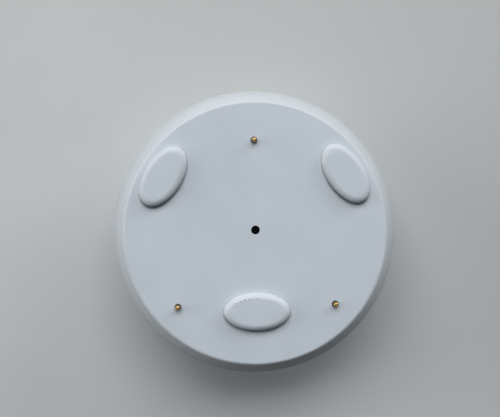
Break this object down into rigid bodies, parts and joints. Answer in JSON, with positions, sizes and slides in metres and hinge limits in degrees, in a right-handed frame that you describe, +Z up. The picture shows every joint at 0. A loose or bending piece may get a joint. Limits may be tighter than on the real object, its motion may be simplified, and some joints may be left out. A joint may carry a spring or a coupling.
{
  "type": "water leak sensor",
  "caption": "Round puck that stands on oval feet and touches the floor with sprung probes; its cover turns and lifts off a battery, radio, siren and wire terminals.",
  "frame": {"origin": "centre of the round body, on the floor plane that the feet and the probe tips rest on", "axes": "+Z up towards the cover, battery along X on the -Y side, wire terminals on the +Y side"},
  "size_m": [0.072, 0.072, 0.028],
  "materials": {
    "casing": "fine satin moulded",
    "rubber": "matt",
    "clear": "clear moulded plastic",
    "board": "solder mask",
    "radio_board": "solder mask",
    "steel": "plated",
    "nickel": "nickel plated",
    "gold": "gold plated, polished",
    "barrel": "plated, satin",
    "copper": "tinned copper wire",
    "aluminium": "drawn can",
    "sleeve": "shrunk film",
    "black_plastic": "moulded",
    "green_plastic": "moulded",
    "button": "moulded",
    "chip": "moulded package",
    "chip_parts": "fired body with tinned ends",
    "indicator": "diffusing lens"
  },
  "bodies": {
    "base": {"base_shell": "casing", "foot_left": "casing", "foot_right": "casing", "foot_back": "casing", "circuit_board": "board", "board_screws": "steel", "battery_holder": "black_plastic", "battery_cell": "steel", "battery_sleeve": "sleeve", "battery_terminal": "steel", "battery_contact_positive": "nickel", "battery_contact_negative": "nickel", "buzzer_case": "black_plastic", "buzzer_disc": "gold", "tamper_switch": "black_plastic", "terminal_block_left": "green_plastic", "terminal_block_right": "green_plastic", "terminal_screws": "steel", "terminal_clamps": "nickel", "radio_board": "radio_board", "radio_shield": "nickel", "antenna_coil": "copper", "status_led": "indicator", "controller_chip": "chip", "voltage_regulator": "chip", "crystal_can": "nickel", "capacitors": "aluminium", "chip_parts": "chip_parts", "temperature_sensor": "chip", "probe_barrel_1": "barrel", "probe_spring_1": "steel", "probe_seal_1": "rubber", "probe_barrel_2": "barrel", "probe_spring_2": "steel", "probe_seal_2": "rubber", "probe_barrel_3": "barrel", "probe_spring_3": "steel", "probe_seal_3": "rubber"},
    "probe_1": {"probe_pin_1": "gold"},
    "probe_2": {"probe_pin_2": "gold"},
    "probe_3": {"probe_pin_3": "gold"},
    "button": {"tamper_button": "button"},
    "seal": {"cover_seal": "rubber"},
    "cover": {"cover_shell": "casing", "light_guide": "clear"}
  },
  "joints": [
    {"name": "probe_slide_1", "type": "slide", "parent": "base", "child": "probe_1", "axis": [0, 0, 1], "range_m": [-0.0006, 0.0012], "stiffness_N_per_m": 60, "springref_m": -0.0009, "deforming": ["probe_spring_1"]},
    {"name": "probe_slide_2", "type": "slide", "parent": "base", "child": "probe_2", "axis": [0, 0, 1], "range_m": [-0.0006, 0.0012], "stiffness_N_per_m": 60, "springref_m": -0.0009, "deforming": ["probe_spring_2"]},
    {"name": "probe_slide_3", "type": "slide", "parent": "base", "child": "probe_3", "axis": [0, 0, 1], "range_m": [-0.0006, 0.0012], "stiffness_N_per_m": 60, "springref_m": -0.0009, "deforming": ["probe_spring_3"]},
    {"name": "button_press", "type": "slide", "parent": "base", "child": "button", "axis": [0, 0, -1], "range_m": [0, 0.0008], "stiffness_N_per_m": 200, "springref_m": -0.0005},
    {"name": "cover_lift", "type": "slide", "parent": "base", "child": "seal", "axis": [0, 0, 1], "range_m": [0, 0.024]},
    {"name": "cover_turn", "type": "hinge", "parent": "seal", "child": "cover", "pos_m": [0, 0, 0.0144], "axis": [0, 0, 1], "range_deg": [-30, 0]}
  ]
}
